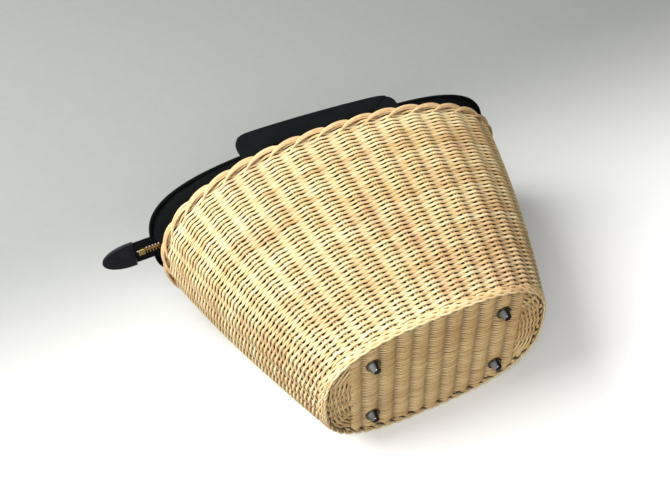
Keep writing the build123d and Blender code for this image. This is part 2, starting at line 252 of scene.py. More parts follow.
def ramp(tree, value, *stops):
    """A colour ramp of (position, colour) stops."""
    made = node(tree, "ShaderNodeValToRGB", {"Fac": value})
    elements = made.color_ramp.elements
    while len(elements) < len(stops):
        elements.new(0.5)
    for element, (at, colour) in zip(elements, stops):
        element.position = at
        element.color = (*colour, 1)
    return made.outputs["Color"]


def mix(tree, factor, a, b):
    made = node(tree, "ShaderNodeMix", data_type="RGBA", blend_type="MIX")
    for key, value in ((0, factor), (6, a), (7, b)):
        if isinstance(value, bpy.types.NodeSocket):
            tree.links.new(value, made.inputs[key])
        else:
            made.inputs[key].default_value = value if key == 0 else (*value, 1)
    return made.outputs[2]


def math_node(tree, operation, *values):
    made = node(tree, "ShaderNodeMath", operation=operation)
    for i, value in enumerate(values):
        if isinstance(value, bpy.types.NodeSocket):
            tree.links.new(value, made.inputs[i])
        else:
            made.inputs[i].default_value = value
    return made.outputs[0]


def bump(tree, shader, height, strength, distance):
    made = node(tree, "ShaderNodeBump", {"Height": height, "Strength": strength, "Distance": distance})
    tree.links.new(made.outputs["Normal"], shader.inputs["Normal"])


def noise(tree, place, scale, detail, roughness=0.5):
    inputs = {"Vector": place, "Scale": scale, "Detail": detail, "Roughness": roughness}
    return node(tree, "ShaderNodeTexNoise", inputs).outputs["Fac"]


def weighted_sum(tree, a, a_share, b, b_share):
    return math_node(
        tree, "ADD", math_node(tree, "MULTIPLY", a, a_share), math_node(tree, "MULTIPLY", b, b_share),
    )


def vary_roughness(tree, shader, value, low, high):
    made = node(tree, "ShaderNodeMapRange", {"Value": value, "To Min": low, "To Max": high})
    tree.links.new(made.outputs["Result"], shader.inputs["Roughness"])


def rattan(name, light, straw, tan, patch, patch_amount, painted_shade_colour):
    """Peeled cane: tone per strand, fibre streaks along it, ruddy patches, and painted shade between and
    behind the strands, deeper with depth.
    """
    material, tree, shader = new_material(name)
    tone = node(tree, "ShaderNodeAttribute", attribute_name="tone").outputs["Fac"]
    depth = node(tree, "ShaderNodeAttribute", attribute_name="depth").outputs["Fac"]
    grain = node(tree, "ShaderNodeAttribute", attribute_name="grain").outputs["Vector"]
    place = node(tree, "ShaderNodeTexCoord").outputs["Object"]
    stretched = node(tree, "ShaderNodeMapping", {"Vector": grain, "Scale": (60, 9, 1)}).outputs["Vector"]
    fibre = noise(tree, stretched, 1.0, 4.0)
    along = node(tree, "ShaderNodeMapping", {"Vector": grain, "Scale": (22, 0.6, 1)}).outputs["Vector"]
    blotch = noise(tree, along, 1.0, 2.0)
    fibre_part = math_node(tree, "MULTIPLY", math_node(tree, "SUBTRACT", fibre, 0.5), 0.5)
    blotch_part = math_node(tree, "MULTIPLY", math_node(tree, "SUBTRACT", blotch, 0.5), 0.9)
    value = math_node(tree, "ADD", math_node(tree, "ADD", tone, fibre_part), blotch_part)
    colour = ramp(tree, value, (0.05, tan), (0.45, straw), (0.95, light))
    broad = noise(tree, place, 19.0, 3.0, 0.6)
    ruddy = node(tree, "ShaderNodeMapRange", {
        "Value": math_node(tree, "ADD", broad, math_node(tree, "MULTIPLY", blotch, 0.35)),
        "From Min": 0.66, "From Max": 0.88, "To Min": 0.0, "To Max": patch_amount,
    }).outputs["Result"]
    colour = mix(tree, ruddy, colour, patch)
    # Painted shade: the deeper a point lies, the more its colour turns to the shade colour. This stands for
    # the shade between and behind the strands.
    shade_share = node(tree, "ShaderNodeMapRange", {
        "Value": depth, "From Min": 0.30, "From Max": 0.82, "To Min": 0.0, "To Max": 1.0,
    }, interpolation_type="SMOOTHSTEP").outputs["Result"]
    colour = mix(tree, shade_share, colour, painted_shade_colour)
    tree.links.new(colour, shader.inputs["Base Color"])
    vary_roughness(tree, shader, fibre, 0.36, 0.56)
    shader.inputs["Coat Weight"].default_value = 0.12
    shader.inputs["Coat Roughness"].default_value = 0.3
    bump(tree, shader, fibre, 0.35, 0.0003)
    return material


def cloth(name, dark, pale, thread, strength, sheen, ribbed=False):
    """Woven black cloth: fine threads both ways, with a little dust in broad patches."""
    material, tree, shader = new_material(name)
    place = node(tree, "ShaderNodeTexCoord").outputs["Object"]
    waves = []
    for direction in ("X", "Y", "Z"):
        wave = node(tree, "ShaderNodeTexWave", {
            "Vector": place, "Scale": thread, "Distortion": 0.6, "Detail": 2.0, "Detail Scale": 3.0,
        }, bands_direction=direction)
        waves.append(wave.outputs["Fac"])
    weave = math_node(tree, "MULTIPLY", math_node(tree, "ADD", waves[0], waves[1]), 0.5)
    weave = math_node(tree, "MAXIMUM", weave, waves[2])
    if ribbed:
        weave = math_node(tree, "ADD", math_node(tree, "MULTIPLY", waves[0], 0.35), waves[2])
    dust = noise(tree, place, 45.0, 5.0)
    tone = weighted_sum(tree, weave, 0.45, dust, 0.6)
    colour = ramp(tree, tone, (0.25, dark), (0.95, pale))
    tree.links.new(colour, shader.inputs["Base Color"])
    vary_roughness(tree, shader, dust, 0.77, 0.93)
    shader.inputs["Sheen Weight"].default_value = sheen
    shader.inputs["Sheen Roughness"].default_value = 0.5
    shader.inputs["Specular IOR Level"].default_value = 0.06
    bump(tree, shader, weave, strength, 0.0003)
    return material


def metal(name, colour, wear_and_reflection, rough):
    """Plated metal with fine scratches and broad patches of a second colour: slightly duller wear on gold and
    steel, painted dark reflection on the dark chrome.
    """
    material, tree, shader = new_material(name)
    place = node(tree, "ShaderNodeTexCoord").outputs["Object"]
    stretched = node(tree, "ShaderNodeMapping", {"Vector": place, "Scale": (1, 1, 6)}).outputs["Vector"]
    fine = noise(tree, stretched, 260.0, 6.0)
    broad = noise(tree, place, 70.0, 3.0)
    tree.links.new(ramp(tree, broad, (0.3, wear_and_reflection), (0.7, colour)), shader.inputs["Base Color"])
    shader.inputs["Metallic"].default_value = 1.0
    vary_roughness(tree, shader, fine, rough * 0.7, rough * 1.5)
    bump(tree, shader, fine, 0.12, 0.0001)
    return material


def leather(name, dark, pale):
    """Fine-grained leather: small pebbles, pores and rubbed high spots."""
    material, tree, shader = new_material(name)
    place = node(tree, "ShaderNodeTexCoord").outputs["Object"]
    pebble = node(tree, "ShaderNodeTexVoronoi", {"Vector": place, "Scale": 900.0}).outputs["Distance"]
    soft = noise(tree, place, 160.0, 6.0)
    tone = weighted_sum(tree, pebble, 0.4, soft, 0.8)
    tree.links.new(ramp(tree, tone, (0.3, dark), (0.9, pale)), shader.inputs["Base Color"])
    vary_roughness(tree, shader, soft, 0.38, 0.6)
    shader.inputs["Specular IOR Level"].default_value = 0.22
    bump(tree, shader, tone, 0.4, 0.0004)
    return material


def fibreboard(name, dark, pale):
    """Pressed board with a coarse pulp grain."""
    material, tree, shader = new_material(name)
    place = node(tree, "ShaderNodeTexCoord").outputs["Object"]
    pulp = noise(tree, place, 220.0, 8.0)
    tree.links.new(ramp(tree, pulp, (0.3, dark), (0.75, pale)), shader.inputs["Base Color"])
    shader.inputs["Roughness"].default_value = 0.9
    bump(tree, shader, pulp, 0.5, 0.0005)
    return material


# The last colour of each cane is its painted shade. The recesses between and behind the strands take it.
cane_side = rattan(
    "cane_side", light=(0.90, 0.77, 0.47), straw=(0.76, 0.57, 0.28), tan=(0.56, 0.35, 0.14),
    patch=(0.55, 0.27, 0.13), patch_amount=0.55, painted_shade_colour=(0.045, 0.022, 0.008),
)
cane_rim = rattan(
    "cane_rim", light=(0.82, 0.64, 0.38), straw=(0.70, 0.48, 0.24), tan=(0.52, 0.32, 0.15),
    patch=(0.56, 0.29, 0.16), patch_amount=0.5, painted_shade_colour=(0.06, 0.03, 0.012),
)
cane_base = rattan(
    "cane_base", light=(0.84, 0.66, 0.36), straw=(0.68, 0.47, 0.20), tan=(0.47, 0.28, 0.10),
    patch=(0.46, 0.22, 0.08), patch_amount=0.4, painted_shade_colour=(0.05, 0.025, 0.01),
)
lining_cloth = cloth(
    "lining_cloth", (0.002, 0.002, 0.0025), (0.004, 0.004, 0.0045), thread=320.0, strength=0.3, sheen=0.005,
)
closure_cloth = cloth(
    "closure_cloth", (0.001, 0.0016, 0.0016), (0.005, 0.006, 0.0065), thread=380.0, strength=0.35, sheen=0.01,
)
strap_cloth = cloth(
    "strap_cloth", (0.001, 0.002, 0.002), (0.006, 0.0085, 0.009), thread=260.0, strength=0.6, sheen=0.015,
    ribbed=True,
)
tape_cloth = cloth(
    "tape_cloth", (0.004, 0.004, 0.006), (0.011, 0.011, 0.014), thread=520.0, strength=0.5, sheen=0.01,
)
gold = metal("gold", (0.85, 0.60, 0.24), (0.72, 0.48, 0.18), 0.24)
# Painted reflection: the near-black second colour of the dark chrome stands in for dark surroundings mirrored
# in the feet.
dark_chrome = metal("dark_chrome", (0.50, 0.48, 0.45), (0.08, 0.075, 0.07), 0.06)
steel = metal("steel", (0.6, 0.6, 0.6), (0.5, 0.5, 0.5), 0.35)
tab_skin = leather("tab_skin", (0.004, 0.004, 0.006), (0.016, 0.016, 0.021))
board = fibreboard("board", (0.035, 0.024, 0.014), (0.10, 0.07, 0.04))


# ---------------------------------------------------------------- woven side
def side_weave():
    """One long strand winds up the side, in front of one pair of stakes and behind the next."""
    samples = 8
    middle, swing, strand_radius, strand_flat = -2.9, 2.05, 1.34, 0.66
    length_per_step = 0.003
    top = SIDE_H - 0.0035
    rows = int(round((top - ROW_START) / ROW_PITCH))
    total = rows * STAKES
    step = np.arange(total * samples + 1) / samples
    share = step / total
    z = ROW_START + (top - ROW_START) * share
    wave = np.cos(math.pi * step)
    wave = np.sign(wave) * np.abs(wave) ** 1.9
    off = (middle + swing * wave + 0.10 * wander(step, 3, 2.3)) * MM
    z = z + (0.13 * wander(step, 4, 3.1) + 0.10 * wander(step, 5, 0.9)) * MM
    path, out = arched(step, z, off)
    radius = (strand_radius + 0.08 * wander(step, 6, 7.0)) * MM
    cut = wander(np.floor(step / (STAKES * 2.4)), 8)
    tone = 0.52 + 0.16 * cut + 0.17 * wander(step, 9, 1.7) + 0.12 * wander(step, 10, 9.0)
    # Painted shade: the weaver is darkened by how far in it lies, most where it passes behind the stakes.
    depth = -off / DEPTH_SCALE
    parts = 3
    edges = [int(round(i * (len(step) - 1) / parts)) for i in range(parts + 1)]
    for i in range(parts):
        part = slice(edges[i], edges[i + 1] + 1)
        bundle = Bundle()
        bundle.tube(path[part], out[part], radius[part], 6, tone[part], depth[part] + 0.12, strand_flat,
                    float(edges[i]) * length_per_step, side_shade=2.0)
        bundle.make(f"side_weave_{i + 1}", cane_side, ("basket_side",) if i == 0 else ())


def side_stakes():
    """Upright canes in pairs, which the weaver passes."""
    bundle = Bundle()
    for stake in range(STAKES):
        for half in (-1, 1):
            z = np.linspace(0.0015, SIDE_H - RIM_H + 0.001, 26)
            spread = half * 1.35 * MM * (1 + 0.12 * wander(z, 40 + stake, 0.05))
            width = 0.0175 + 0.0055 * z / SIDE_H
            path, out = arched(stake + spread / width, z, -3.0 * MM)
            tone = 0.56 + 0.14 * float(wander(stake * 2 + half, 21)) + 0.08 * wander(z, 70 + stake, 0.03)
            # Painted shade: the stakes take a fixed depth, so they are darkened as lying behind the weaver.
            bundle.tube(path, out, 1.2 * MM, 6, tone, 0.62)
    bundle.make("side_stakes", cane_side)


def base_wale():
    """Two rounds of three twined strands that turn the side into the base."""
    bundle = Bundle()
    step = np.arange(STAKES * 9 + 1) / 9
    for turn, height in enumerate((1.2, 3.2)):
        for strand in range(3):
            phase = (step * 1.5 + strand + 0.5 * turn) / 3 % 1.0
            near = np.minimum(phase, 1 - phase)
            behind = np.clip(1 - near / 0.17, 0, 1)
            behind = behind * behind * (3 - 2 * behind)
            off = (-0.75 - 3.6 * behind - 0.7 * (turn == 0)) * MM
            z = (height + 1.7 * np.sin(2 * math.pi * phase)) * MM
            path, out = on_side(step, z, off)
            tone = 0.5 + 0.1 * strand + 0.2 * wander(step, 90 + strand, 2.5)
            # Painted shade: each strand darkens where it passes in behind the others.
            bundle.tube(path, out, 1.0 * MM, 7, tone, 0.26 + 0.5 * behind, side_shade=1.4)
    bundle.make("base_wale", cane_side)


def catmull(points, steps):
    """A smooth curve through the points, as rows of values."""
    p = np.asarray(points, float)
    p = np.vstack([2 * p[0] - p[1], p, 2 * p[-1] - p[-2]])
    made = []
    for i in range(1, len(p) - 2):
        t = np.linspace(0, 1, steps, endpoint=False)[:, None]
        made.append(0.5 * (2 * p[i] + (p[i + 1] - p[i - 1]) * t
                           + (2 * p[i - 1] - 5 * p[i] + 4 * p[i + 1] - p[i + 2]) * t**2
                           + (3 * p[i] - p[i - 1] - 3 * p[i + 1] + p[i + 2]) * t**3))
    made.append(p[-2:-1])
    return np.vstack(made)


def rim():
    """Each stake's ends roll over the next stakes in front of the mouth and tuck in behind."""
    roll = catmull((
        (-0.30, -6.0, -3.0), (-0.12, -3.4, -1.2), (0.12, -0.6, 0.2), (0.50, 2.2, 0.8), (0.92, 3.6, 0.6),
        (1.30, 3.4, -0.6), (1.58, 1.4, -2.8), (1.76, -1.4, -4.2),
    ), 5)
    bundle = Bundle()
    s = np.linspace(0, 1, len(roll))
    lift = np.clip(s / 0.35, 0, 1) * np.clip((1.12 - s) / 0.3, 0, 1)
    for stake in range(STAKES):
        for strand in range(4):
            u = stake + roll[:, 0] + 0.08 * strand * (1 - s)
            jitter = float(wander(stake * 4 + strand, 31))
            z = SIDE_H - RIM_H + (roll[:, 1] + 1.45 * (strand - 0.8) * lift + 0.4 * jitter * lift) * MM
            off = (roll[:, 2] + (0.1, 0.45, 0.25, -0.6)[strand] * lift) * MM
            path, out = arched(u, z, off, 1.0)
            tone = 0.48 + 0.22 * jitter + 0.08 * wander(s, 200 + stake * 3 + strand, 0.2)
            # Painted shade: the ends darken the further in they tuck.
            bundle.tube(path, out, 0.92 * MM, 6, tone, np.clip(-off / DEPTH_SCALE + 0.42, 0, 1), side_shade=2.2)
    bundle.make("rim_border_roll", cane_rim, ("rim_border",))


# ---------------------------------------------------------------- woven base
def base_panel():
    """Ribs from front to back, each hidden under packed weavers that run along the width."""
    a, b, n = outline(0)
    rib, reach = 0.0146, 0.0765
    rows, row_pitch = 109, 1.2
    bundle = Bundle()
    for row in range(rows):
        y = (row - (rows - 1) / 2) * row_pitch * MM
        limit = (a - 0.0025) * (1 - min(abs(y) / (b - 0.0012), 1) ** n) ** (1 / n)
        half = min(reach, limit)
        if half < 0.004:
            continue
        count = max(5, int(2 * half / (rib / 7)) + 1)
        x = np.linspace(-half, half, count)
        wave = np.cos(math.pi * x / rib + math.pi * row)
        z = (3.7 - 2.6 * wave + 0.10 * wander(x + row, 301, 0.01)) * MM
        sway = 0.5 * wander(x, 302, 0.02) + 0.16 * wander(x + 3 * row, 303, 0.012)
        path = np.stack([x, y + sway * MM, z], -1)
        tone = 0.5 + 0.14 * float(wander(row // 3, 304)) + 0.16 * wander(x + row, 305, 0.02)
        radius = (0.92 + 0.07 * float(wander(row, 306))) * MM
        # Painted shade: each weaver darkens where it dips between the ribs and is lightest over them.
        bundle.tube(path, (0, 0, -1), radius, 6, tone, 0.96 - 0.42 * wave, side_shade=3.4)
    bundle.make("base_panel_weave", cane_base, ("basket_base",))
    ribs = Bundle()
    for k in range(-5, 6):
        x = k * rib
        half = (b - 0.003) * (1 - min(abs(x) / (a - 0.002), 1) ** n) ** (1 / n)
        y = np.linspace(-half, half, 30)
        # Painted shade: the ribs under the weavers are darkened by a fixed depth.
        ribs.tube(np.stack([0 * y + x, y, 0 * y + 3.2 * MM], -1), (0, 0, -1), 1.25 * MM, 6, 0.4, 0.45)
    ribs.make("base_ribs", cane_base)


def base_ends():
    """Curved rows over short spokes fill the two rounded ends of the base."""
    a, b, n = outline(0)
    spoke_angle = 0.27
    bundle = Bundle()
    for side in (-1, 1):
        for row in range(14):
            inset = (1.6 + 1.75 * row) * MM
            ring, _ = even_ring(a - inset, b - inset, n, 700, start=0.0 if side < 0 else math.pi)
            ring = ring[ring[:, 0] * side > 0.0755]
            if len(ring) < 8:
                continue
            pick = np.linspace(0, len(ring) - 1, max(8, int(len(ring) / 5))).astype(int)
            ring = ring[pick]
            run = np.arctan2(ring[:, 1], 0.052 + 0 * ring[:, 1]) / spoke_angle
            wave = np.cos(math.pi * (run + row))
            z = (2.8 - 1.5 * wave) * MM
            path = np.column_stack([ring, z])
            tone = 0.5 + 0.2 * float(wander(row * 7 + side, 401)) + 0.15 * wander(run, 402 + row, 0.8)
            # Painted shade: each row darkens where it dips between the spokes.
            bundle.tube(path, (0, 0, -1), 1.15 * MM, 6, tone, 0.70 - 0.30 * wave, side_shade=2.2)
        for spoke in range(-4, 5):
            angle = spoke * spoke_angle
            y0, y1 = 0.047 * math.tan(angle) * 0.85, 0.060 * math.tan(angle)
            if abs(y1) > 0.058:
                continue
            x1 = (a - 0.002) * (1 - (abs(y1) / b) ** n) ** (1 / n)
            for half in (-1, 1):
                t = np.linspace(0, 1, 8)
                x = 0.073 + (x1 - 0.073) * t
                y = y0 + (y1 - y0) * t + half * 1.2 * MM
                path = np.stack([side * x, y, 0 * x + 3.0 * MM], -1)
                # Painted shade: the spokes under the rows are darkened by a fixed depth.
                bundle.tube(path, (0, 0, -1), 1.2 * MM, 6, 0.5, 0.4)
    bundle.make("base_end_weave", cane_base)


# ---------------------------------------------------------------- fabric
def grid_mesh(name, grid, closed_u=False, flip=False):
    """A mesh from a grid of points (rows, columns, 3)."""
    rows, columns = grid.shape[:2]
    mesh = bpy.data.meshes.new(name)
    faces = []
    span = columns if closed_u else columns - 1
    for r in range(rows - 1):
        for c in range(span):
            d = (c + 1) % columns
            quad = [r * columns + c, r * columns + d, (r + 1) * columns + d, (r + 1) * columns + c]
            faces.append(quad[::-1] if flip else quad)
    mesh.from_pydata(grid.reshape(-1, 3).tolist(), [], faces)
    return mesh


def thicken(piece, amount):
    """Give a sheet its thickness, inward from the face it was drawn with."""
    bpy.context.view_layer.objects.active = piece
    modifier = piece.modifiers.new("thick", "SOLIDIFY")
    modifier.thickness = amount
    modifier.offset = -1
    bpy.ops.object.modifier_apply(modifier=modifier.name)
    piece.data.polygons.foreach_set("use_smooth", [True] * len(piece.data.polygons))


COLUMNS = 240


def lining():
    """The cloth bag inside the basket, softly creased."""
    bottom, high, brim = 0.0103, 0.183, 0.181
    turn = np.arange(COLUMNS) * 2 * math.pi / COLUMNS
    rows = []
    for z in np.linspace(bottom, high, 40):
        share = (z - bottom) / (brim - bottom)
        inset = 0.0067 + 0.0032 * share
        a, b, n = outline(z)
        crease = 0.5 * wander(turn * 9 + z * 40, 501) + 0.5 * wander(turn * 23 + z * 15, 502)
        pull = inset + 0.0003 + 0.0006 * (1 + crease)
        p = superellipse(1, 1, n, turn)
        x, y = p[:, 0] * (a - pull), p[:, 1] * (b - pull - 0.0033 * share)
        rows.append(np.stack([x, y, 0 * turn + z], -1))
    floor = rows[0]
    for scale in (0.97, 0.8, 0.5, 0.2, 0.01):
        ring = floor * np.array([scale, scale, 1])
        ring[:, 2] = bottom + 0.0002 * (1 - scale)
        rows.insert(0, ring)
    mesh = grid_mesh("lining_bag", np.array(rows), closed_u=True)
    piece = finish_piece("lining_bag", mesh, lining_cloth, ("lining",))
    thicken(piece, 0.0010)


def closure_top(depth):
    """Height of the closure at a distance from the zip."""
    return TAPE_TOP + (np.abs(depth) - CLOSE_GAP) * CLOSE_RISE


def collar():
    """The band that stands up out of the mouth, gathered slightly into the seam along its top edge."""
    turn = (np.arange(COLUMNS) + 0.5) * 2 * math.pi / COLUMNS
    foot = 0.183
    table = np.array((  # height, half width, half depth, fullness
        (0.181, 0.1525, 0.0692, 2.52), (0.190, 0.1530, 0.0694, 2.5), (0.201, 0.155, 0.0694, 2.5),
        (0.210, 0.1605, 0.0690, 2.6), (0.2165, 0.1648, 0.0684, 2.8), (0.222, 0.1668, 0.0679, 3.0),
        (0.226, 0.1672, 0.0672, 3.1),
    ))
    rows = []
    edge = superellipse(0.1672, 0.0676, 3.1, turn)
    tape_pass, tape_level = 0.0137, 0.2172
    slider_pass, slider_level = 0.0092, 0.2118
    top = np.where(np.abs(edge[:, 1]) > tape_pass, closure_top(edge[:, 1]) + 0.0004, tape_level)
    top = np.where(np.abs(edge[:, 1]) < slider_pass, slider_level, top)
    for share in np.linspace(0, 1, 22):
        z = foot + (top - foot) * share
        a, b, n = (np.interp(z, table[:, 0], table[:, i]) for i in (1, 2, 3))
        c, s = np.cos(turn), np.sin(turn)
        crease = wander(turn * 14, 511) * 0.0005 * share + wander(turn * 37 + z * 90, 512) * 0.00025
        bulge = 0.0010 * math.sin(math.pi * share) - 0.0012 * share**6
        away = np.where((np.abs(np.cos(turn)) < 0.62), 0.0, 1.0)
        x = (a + (bulge + crease)) * np.sign(c) * np.abs(c) ** (2 / n)
        y = (b + (crease - 0.0004) * away) * np.sign(s) * np.abs(s) ** (2 / n)
        rows.append(np.stack([x, y, z], -1))
    mesh = grid_mesh("closure_collar_band", np.array(rows), closed_u=True)
    piece = finish_piece("closure_collar_band", mesh, closure_cloth, ("closure_collar",))
    thicken(piece, 0.0016)


def panels():
    """The two halves of the closure, softly puffed between the zip and a rolled seam at the edge."""
    for name, side in (("front", -1), ("back", 1)):
        turn = np.linspace(0.0, math.pi, 121)
        edge = superellipse(0.1668, 0.0676, 3.2, turn)
        edge = edge[edge[:, 1] > CLOSE_GAP + 0.0005]
        start = np.array([[edge[0, 0], CLOSE_GAP + 0.0002]])
        edge = np.vstack([start, edge, [[-start[0, 0], start[0, 1]]]])
        rows = []
        for share in np.linspace(0, 1, 26):
            x = edge[:, 0] * (1 - 0.012 * share)
            y = CLOSE_GAP + (edge[:, 1] - CLOSE_GAP) * (1 - share)
            puff = math.sin(math.pi * min(share / 0.96, 1.0)) ** 0.6 if 0 < share < 0.96 else 0.0
            taper = np.clip((edge[:, 1] - CLOSE_GAP) / 0.03, 0, 1)
            wrinkle = 0.00022 * wander(x * 1000 / 7, 521) + 0.0003 * wander(x * 1000 / 17 + y * 60, 522)
            z = closure_top(y) + 0.0011 + taper * (0.0016 * puff + wrinkle * puff) - 0.0012 * (share < 0.01)
            rows.append(np.stack([x, side * y, z], -1))
        node_name = f"closure_panel_{name}"
        mesh = grid_mesh(f"{node_name}_cloth", np.array(rows), flip=side > 0)
        piece = finish_piece(f"{node_name}_cloth", mesh, closure_cloth, (node_name,))
        thicken(piece, 0.0010)
        seam = Bundle()
        line = np.column_stack([edge[:, 0], side * edge[:, 1], closure_top(edge[:, 1]) + 0.0006])
        seam.tube(line, (0, 0, 1), 1.5 * MM, 10, 0.5)
        seam.make(f"closure_seam_{name}", closure_cloth)
        stitch_line(f"closure_stitches_{name}", side)


def stitch_line(name, side):
    """A row of top stitches beside the zip."""
    bundle = Bundle()
    y = side * (CLOSE_GAP + 0.0018)
    for x in np.arange(-0.150, 0.150, 0.0034):
        z = closure_top(y) + 0.00135
        path = [(x - 0.0012, y, z - 0.0002), (x - 0.0006, y, z + 0.00015),
                (x + 0.0006, y, z + 0.00015), (x + 0.0012, y, z - 0.0002)]
        bundle.tube(path, (0, 0, 1), 0.22 * MM, 5, 0.9)
    bundle.make(name, tape_cloth)


def strap(name, side):
    """One flat strap with its tails. It folds to a mitre at each corner and bends at the hinge line."""
    width, thick, lift_line, rise = 0.022, 0.0026, -0.0045, 0.0205
    tail_end, outer_x, inner_x, corner_power = 0.1832, -0.076, -0.054, 3.8
    rows = []
    for z in np.linspace(tail_end - HINGE_Z, lift_line, 16):
        rows.append(((outer_x, z), (inner_x, z), 0.0))
    inner = np.array((inner_x, lift_line))
    fan = [math.radians(v) for v in (5, 10, 16, 22, 28, 34, 39, 44, 46, 51, 57, 63, 69, 75, 80, 85, 90)]
    for angle in fan:
        c, s = math.cos(angle), math.sin(angle)
        size = 1 / (c**corner_power + s**corner_power) ** (1 / corner_power)
        outer = inner + np.array((-c * width, s * (rise - lift_line))) * size
        outer[0] += 0.002 * s * max(0.0, outer[1]) / rise
        rows.append((tuple(outer), tuple(inner), 1.0 if angle > math.radians(45) else 0.0))
    for x in np.linspace(-0.050, -0.002, 16):
        rows.append(((x, rise), (x, lift_line), 1.0))
    mirrored = [((-a[0], a[1]), (-b[0], b[1]), lift) for a, b, lift in rows[::-1]]
    rows += [((0.0, rise), (0.0, lift_line), 1.0)] + mirrored
    sag = 0.39 if side < 0 else 0.12
    profile = []
    across = (0.0, 0.02, 0.06, 0.13, 0.3, 0.5, 0.7, 0.87, 0.94, 0.98, 1.0)
    for w in across:
        edge = min(w, 1 - w)
        profile.append((w, 0.5 * (1 - (1 - min(edge / 0.06, 1)) ** 2) ** 0.5 if edge < 0.06 else 0.5))
    section = [(w, h) for w, h in profile] + [(w, -h) for w, h in profile[-2:0:-1]]
    verts = []
    for outer, mid, lift in rows:
        a, b = np.array(outer), np.array(mid)
        for w, h in section:
            q = a + (b - a) * w
            height = h * thick + (lift * 0.0010 - 0.0005) * (q[1] > 0.0003)
            drop = sag * min(max((q[0] + 0.069) / 0.129, 0.0), 1.1) ** 2
            s = q[1] * (1 - drop) if q[1] > 0 else q[1]
            if s <= 0:
                point = (q[0], side * (HINGE_Y + height), HINGE_Z + s)
            else:
                bend = LEAN * min(1.0, s / 0.008)
                y = HINGE_Y - s * math.sin(bend) + height * math.cos(bend)
                point = (q[0], side * y, HINGE_Z + s * math.cos(bend) + height * math.sin(bend))
            verts.append(point)
    count = len(section)
    faces = []
    for r in range(len(rows) - 1):
        for c in range(count):
            d = (c + 1) % count
            quad = [r * count + c, r * count + d, (r + 1) * count + d, (r + 1) * count + c]
            faces.append(quad if side < 0 else quad[::-1])
    faces.append(list(range(count)))
    faces.append([(len(rows) - 1) * count + c for c in range(count)])
    mesh = bpy.data.meshes.new(f"strap_{name}")
    mesh.from_pydata(verts, [], faces)
    mesh.validate()
    nodes = (f"handle_{name}", f"handle_{name}_tail_left", f"handle_{name}_tail_right")
    piece = finish_piece(f"strap_{name}", mesh, strap_cloth, (), body=None)
    fix_normals(piece)
    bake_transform(piece)
    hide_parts(*nodes)


def fix_normals(piece):
    """Turn every face outward."""
    work = bmesh.new()
    work.from_mesh(piece.data)
    bmesh.ops.recalc_face_normals(work, faces=work.faces)
    work.to_mesh(piece.data)
    work.free()


# ---------------------------------------------------------------- zip
def tapes():
    """Two cloth tapes with a bead at each edge, which meet beyond the end of the chain."""
    inner_edge, outer_edge = 0.0028, 0.0130
    for name, side in (("front", -1), ("back", 1)):
        x = np.linspace(-0.190, 0.160, 150)
        rows = []
        for w in np.linspace(0, 1, 9):
            inner = inner_edge - 0.0027 * np.clip((-0.1795 - x) / 0.003, 0, 1)
            y = inner + (outer_edge - inner) * w
            bead = 0.0005 * math.exp(-((w - 0.05) / 0.06) ** 2)
            bead += 0.0002 * math.exp(-((w - 0.93) / 0.04) ** 2)
            z = ZIP_Z + 0.00032 + bead + 0.00012 * wander(x, 601 + side, 0.011) * w
            rows.append(np.stack([x, 0 * x + side * y, z], -1))
        mesh = grid_mesh(f"tape_{name}", np.array(rows), flip=side > 0)
        piece = finish_piece(f"zip_tape_{name}_cloth", mesh, tape_cloth, (f"zip_tape_{name}",))
        thicken(piece, 0.00075)


def teeth():
    """Cast teeth clamped on each tape's edge, the two rows half a pitch apart so that they mesh."""
    pitch, chain_start, chain_end = 0.00275, -0.1745, 0.1515
    sides = 8
    profile = (  # distance from the zip's middle in metres, then half length and half height in millimetres
        (0.0035, 0.85, 1.3), (0.0026, 0.95, 1.5), (0.0012, 0.62, 1.5),
        (0.0004, 0.60, 1.35), (-0.0006, 0.86, 1.25), (-0.0010, 0.62, 0.95),
    )
    for name, side in (("front", -1), ("back", 1)):
        verts, faces = [], []
        shift = 0.0 if side < 0 else pitch / 2
        x = chain_start + shift
        while x < chain_end:
            base = len(verts)
            for y, half, height in profile:
                for i in range(sides):
                    turn = (i + 0.5) * math.pi / 4
                    c, s = math.cos(turn), math.sin(turn)
                    scale = 1 / max(abs(c), abs(s)) * 0.93
                    verts.append((x + c * scale * half * MM, side * y, ZIP_Z + s * scale * height * MM))
            for r in range(len(profile) - 1):
                low, high = base + r * sides, base + (r + 1) * sides
                for i in range(sides):
                    j = (i + 1) % sides
                    faces.append((low + i, low + j, high + j, high + i))
            faces.append(tuple(base + i for i in range(sides))[::-1])
            faces.append(tuple(base + (len(profile) - 1) * sides + i for i in range(sides)))
            x += pitch
        mesh = bpy.data.meshes.new(f"teeth_{name}")
        mesh.from_pydata(verts, [], faces)
        node_name = f"zip_teeth_{name}"
        piece = finish_piece(f"{node_name}_cast", mesh, gold, (node_name,), smooth=False)
        fix_normals(piece)


